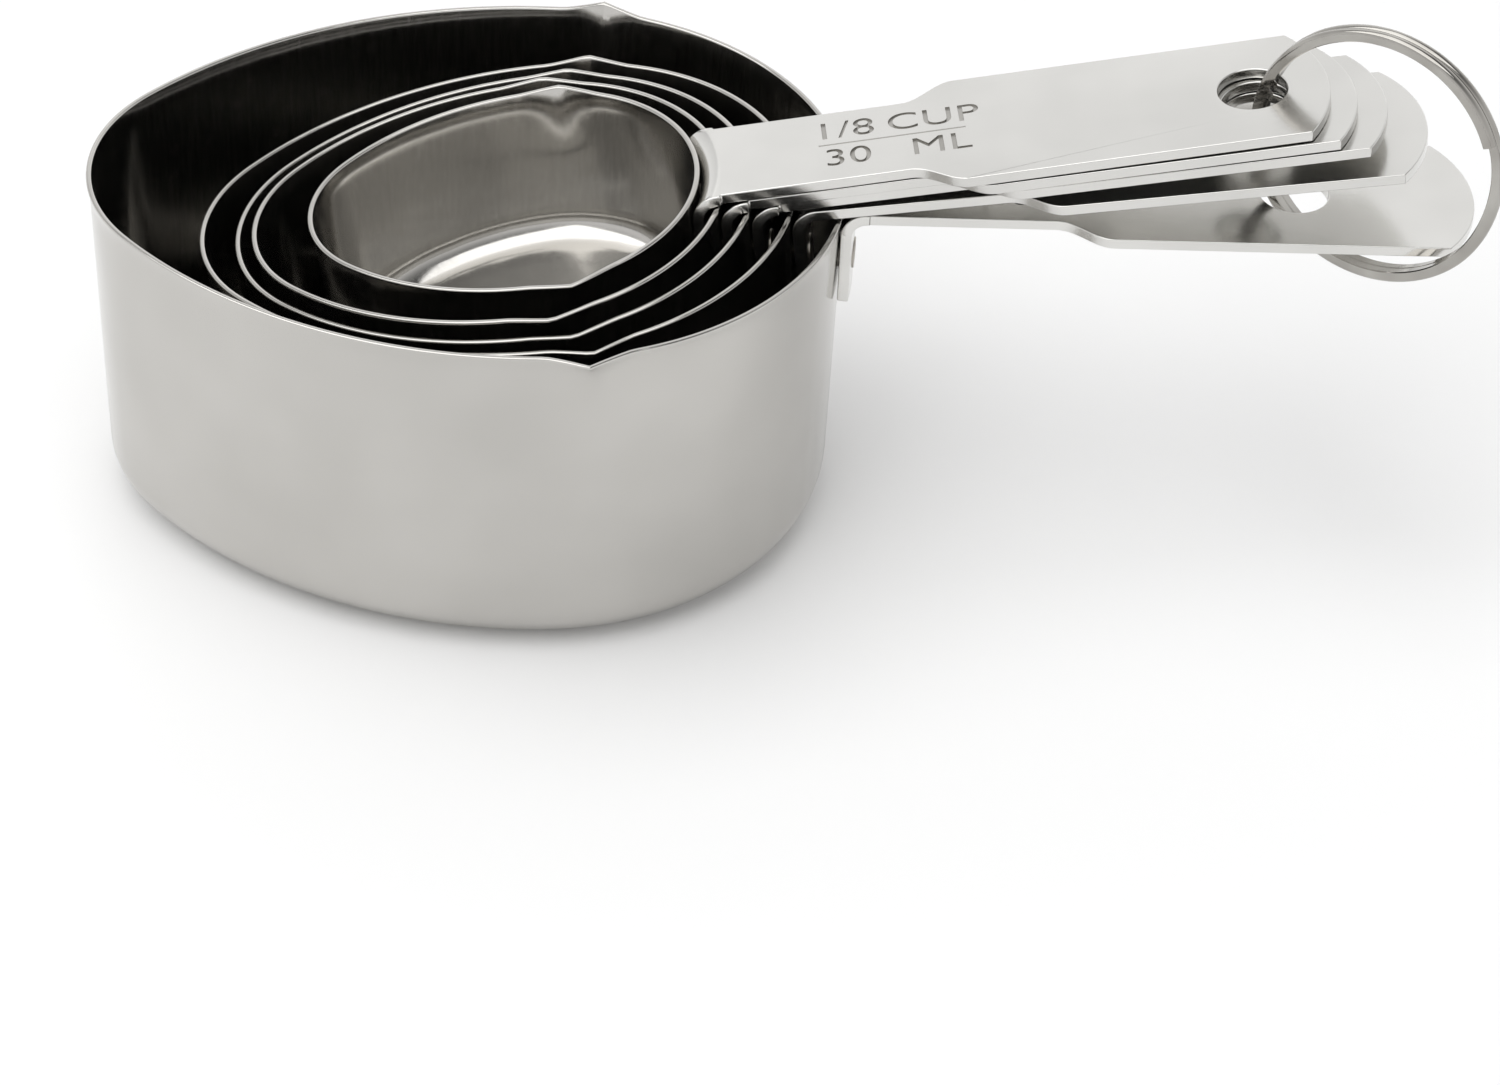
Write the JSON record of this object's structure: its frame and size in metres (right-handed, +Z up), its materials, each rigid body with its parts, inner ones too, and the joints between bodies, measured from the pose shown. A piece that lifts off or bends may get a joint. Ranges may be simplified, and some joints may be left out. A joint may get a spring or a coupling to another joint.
{
  "type": "measuring cup set",
  "caption": "Nest of steel measuring cups with flat handles and pouring lips, hung together on a split ring.",
  "frame": {"origin": "on the table under the middle of the largest cup's length, on the line of its handle", "axes": "+X along the largest cup's handle, +Y to the back, +Z up"},
  "size_m": [0.1733, 0.0804, 0.0745],
  "materials": {
    "bowl": "drawn stainless steel, polished",
    "handle": "stamped stainless strip, polished faces, finely ground edges",
    "welds": "electric spot welds, dull",
    "ring": "rolled spring wire, bright plated"
  },
  "bodies": {
    "one_cup": {"one_bowl": "bowl", "one_handle": "handle", "one_welds": "welds"},
    "half_cup": {"half_bowl": "bowl", "half_handle": "handle", "half_welds": "welds"},
    "third_cup": {"third_bowl": "bowl", "third_handle": "handle", "third_welds": "welds"},
    "quarter_cup": {"quarter_bowl": "bowl", "quarter_handle": "handle", "quarter_welds": "welds"},
    "eighth_cup": {"eighth_bowl": "bowl", "eighth_handle": "handle", "eighth_welds": "welds"},
    "split_ring": {"split_ring": "ring"}
  },
  "joints": [
    {"name": "half_lift", "type": "hinge", "parent": "one_cup", "child": "half_cup", "pos_m": [0.11869, 0.00121, 0.0562], "axis": [-0.0332, 0.9995, 0], "range_deg": [0, 10]},
    {"name": "third_lift", "type": "hinge", "parent": "half_cup", "child": "third_cup", "pos_m": [0.11333, 0.0004, 0.05942], "axis": [-0.0418, 0.9991, -0.0011], "range_deg": [0, 6]},
    {"name": "quarter_lift", "type": "hinge", "parent": "third_cup", "child": "quarter_cup", "pos_m": [0.10951, 0.00076, 0.06041], "axis": [-0.0539, 0.9985, -0.0029], "range_deg": [0, 6]},
    {"name": "eighth_lift", "type": "hinge", "parent": "quarter_cup", "child": "eighth_cup", "pos_m": [0.1067, 0.00159, 0.06156], "axis": [-0.0642, 0.9979, -0.0045], "range_deg": [0, 15]},
    {"name": "ring_turn", "type": "hinge", "parent": "one_cup", "child": "split_ring", "pos_m": [0.1114, -0.0069, 0.0577], "axis": [-0.5506, -0.8319, 0.0698], "continuous": true}
  ]
}
